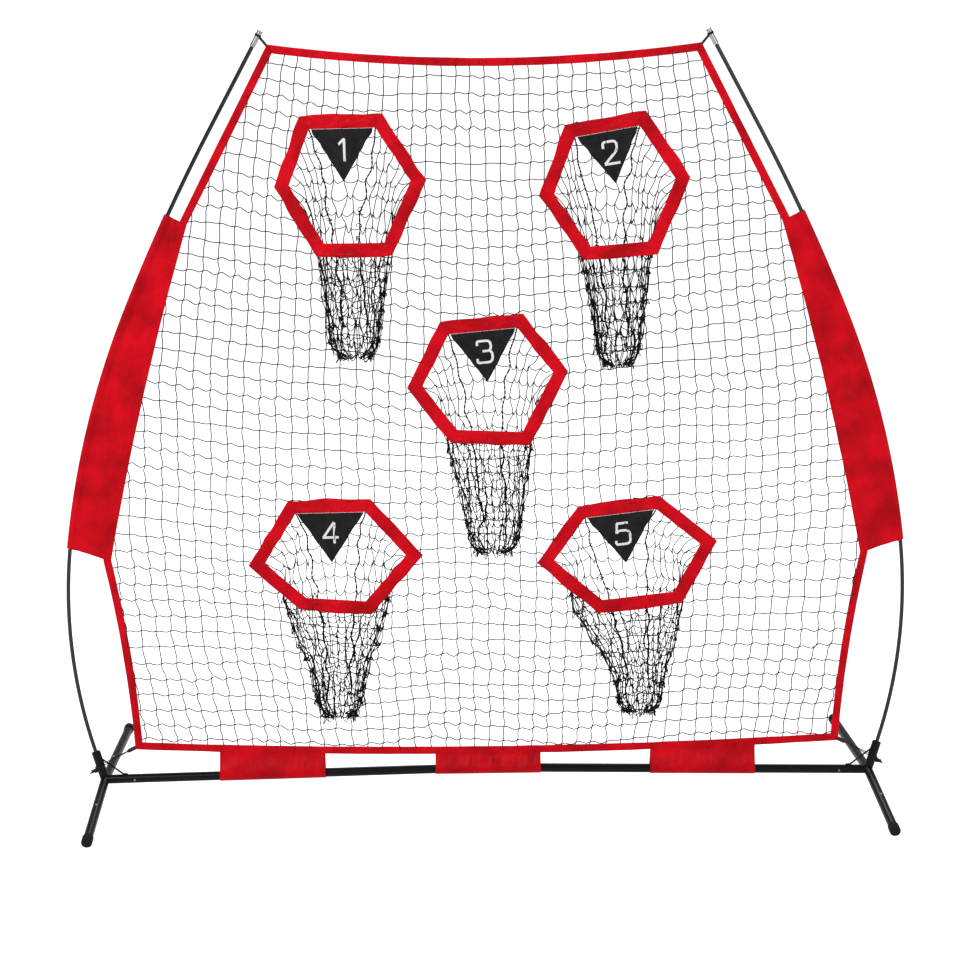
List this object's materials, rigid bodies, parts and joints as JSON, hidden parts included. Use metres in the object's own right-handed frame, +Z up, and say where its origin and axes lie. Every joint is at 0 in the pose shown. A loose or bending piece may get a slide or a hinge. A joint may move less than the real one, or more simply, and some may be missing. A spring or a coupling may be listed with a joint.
{
  "type": "pitching target net",
  "caption": "Free-standing practice net on a steel base with two bowed poles, a red-hemmed mesh panel and numbered ball pockets with hanging bags.",
  "frame": {"origin": "on the floor, at the middle of the footprint", "axes": "+Z up, +X along the base bar to the thrower's right, -Y towards the thrower, the bags hang on the +Y side"},
  "size_m": [2.3268, 0.9917, 2.1169],
  "materials": {
    "powder_coated_steel": "satin black powder coat",
    "button_steel": "plated",
    "cap_rubber": "matt moulded",
    "ferrule_aluminium": "drawn",
    "fibreglass": "gloss black",
    "red_polyester": "satin weave",
    "black_netting": "knotless twine",
    "black_polyester": "coated weave",
    "black_webbing": "woven webbing and elastic",
    "hook_plastic": "moulded"
  },
  "bodies": {
    "frame": {"corner_hub_right": "powder_coated_steel", "corner_hub_left": "powder_coated_steel", "leg_front_right": "powder_coated_steel", "leg_front_left": "powder_coated_steel", "leg_rear_right": "powder_coated_steel", "leg_rear_left": "powder_coated_steel", "foot_caps": "cap_rubber", "button_springs": "button_steel", "base_bar_right": "powder_coated_steel", "base_bar_left": "powder_coated_steel", "pole_lower_right": "fibreglass", "pole_lower_left": "fibreglass", "pole_upper_right": "fibreglass", "pole_upper_left": "fibreglass", "pole_ferrules": "ferrule_aluminium", "pole_tip_right": "ferrule_aluminium", "pole_tip_left": "ferrule_aluminium", "target_net": "black_netting", "hem_top": "red_polyester", "hem_bottom": "red_polyester", "hem_left": "red_polyester", "hem_right": "red_polyester", "pole_sleeve_right": "red_polyester", "pole_sleeve_left": "red_polyester", "base_sleeve_left": "red_polyester", "base_sleeve_middle": "red_polyester", "base_sleeve_right": "red_polyester", "pocket_band_1": "red_polyester", "pocket_net_1": "black_netting", "pocket_band_2": "red_polyester", "pocket_net_2": "black_netting", "pocket_band_3": "red_polyester", "pocket_net_3": "black_netting", "pocket_band_4": "red_polyester", "pocket_net_4": "black_netting", "pocket_band_5": "red_polyester", "pocket_net_5": "black_netting", "top_strap_right": "black_webbing", "top_strap_left": "black_webbing", "corner_hook_right": "hook_plastic", "corner_hook_left": "hook_plastic", "corner_cord_right": "black_webbing", "corner_cord_left": "black_webbing"},
    "snap_button_front_right": {"snap_button_front_right": "button_steel"},
    "snap_button_front_left": {"snap_button_front_left": "button_steel"},
    "snap_button_rear_right": {"snap_button_rear_right": "button_steel"},
    "snap_button_rear_left": {"snap_button_rear_left": "button_steel"},
    "snap_button_bar_right": {"snap_button_bar_right": "button_steel"},
    "snap_button_bar_left": {"snap_button_bar_left": "button_steel"},
    "snap_button_middle": {"snap_button_middle": "button_steel"},
    "wing_screw_right": {"wing_screw_right": "powder_coated_steel"},
    "wing_screw_left": {"wing_screw_left": "powder_coated_steel"},
    "number_flag_1": {"number_flag_1": "black_polyester"},
    "number_flag_2": {"number_flag_2": "black_polyester"},
    "number_flag_3": {"number_flag_3": "black_polyester"},
    "number_flag_4": {"number_flag_4": "black_polyester"},
    "number_flag_5": {"number_flag_5": "black_polyester"}
  },
  "joints": [
    {"name": "press_front_right", "type": "slide", "parent": "frame", "child": "snap_button_front_right", "axis": [0, 0.0855, -0.9963], "range_m": [0, 0.0032], "stiffness_N_per_m": 600, "springref_m": -0.002},
    {"name": "press_front_left", "type": "slide", "parent": "frame", "child": "snap_button_front_left", "axis": [0, 0.0855, -0.9963], "range_m": [0, 0.0032], "stiffness_N_per_m": 600, "springref_m": -0.002},
    {"name": "press_rear_right", "type": "slide", "parent": "frame", "child": "snap_button_rear_right", "axis": [0, -0.0606, -0.9982], "range_m": [0, 0.0032], "stiffness_N_per_m": 600, "springref_m": -0.002},
    {"name": "press_rear_left", "type": "slide", "parent": "frame", "child": "snap_button_rear_left", "axis": [0, -0.0606, -0.9982], "range_m": [0, 0.0032], "stiffness_N_per_m": 600, "springref_m": -0.002},
    {"name": "press_bar_right", "type": "slide", "parent": "frame", "child": "snap_button_bar_right", "axis": [0, 1, 0], "range_m": [0, 0.0032], "stiffness_N_per_m": 600, "springref_m": -0.002},
    {"name": "press_bar_left", "type": "slide", "parent": "frame", "child": "snap_button_bar_left", "axis": [0, 1, 0], "range_m": [0, 0.0032], "stiffness_N_per_m": 600, "springref_m": -0.002},
    {"name": "press_middle", "type": "slide", "parent": "frame", "child": "snap_button_middle", "axis": [0, 1, 0], "range_m": [0, 0.0032], "stiffness_N_per_m": 600, "springref_m": -0.002},
    {"name": "turn_wing_screw_right", "type": "hinge", "parent": "frame", "child": "wing_screw_right", "pos_m": [1.10453, -0.085, 0.07411], "axis": [0.9613, 0, -0.2756], "continuous": true},
    {"name": "turn_wing_screw_left", "type": "hinge", "parent": "frame", "child": "wing_screw_left", "pos_m": [-1.10453, -0.085, 0.07411], "axis": [-0.9613, 0, -0.2756], "continuous": true},
    {"name": "flag_1_swing", "type": "hinge", "parent": "frame", "child": "number_flag_1", "pos_m": [-0.38107, -0.085, 1.85565], "axis": [0.9998, 0, 0.0182], "range_deg": [-75, 38]},
    {"name": "flag_2_swing", "type": "hinge", "parent": "frame", "child": "number_flag_2", "pos_m": [0.32625, -0.085, 1.84346], "axis": [0.9856, 0, 0.1688], "range_deg": [-75, 38]},
    {"name": "flag_3_swing", "type": "hinge", "parent": "frame", "child": "number_flag_3", "pos_m": [-0.00891, -0.085, 1.30877], "axis": [0.9961, 0, 0.0885], "range_deg": [-75, 38]},
    {"name": "flag_4_swing", "type": "hinge", "parent": "frame", "child": "number_flag_4", "pos_m": [-0.43085, -0.085, 0.80812], "axis": [0.9999, 0, 0.0133], "range_deg": [-75, 38]},
    {"name": "flag_5_swing", "type": "hinge", "parent": "frame", "child": "number_flag_5", "pos_m": [0.36925, -0.085, 0.7969], "axis": [0.9935, 0, 0.1138], "range_deg": [-75, 38]}
  ]
}
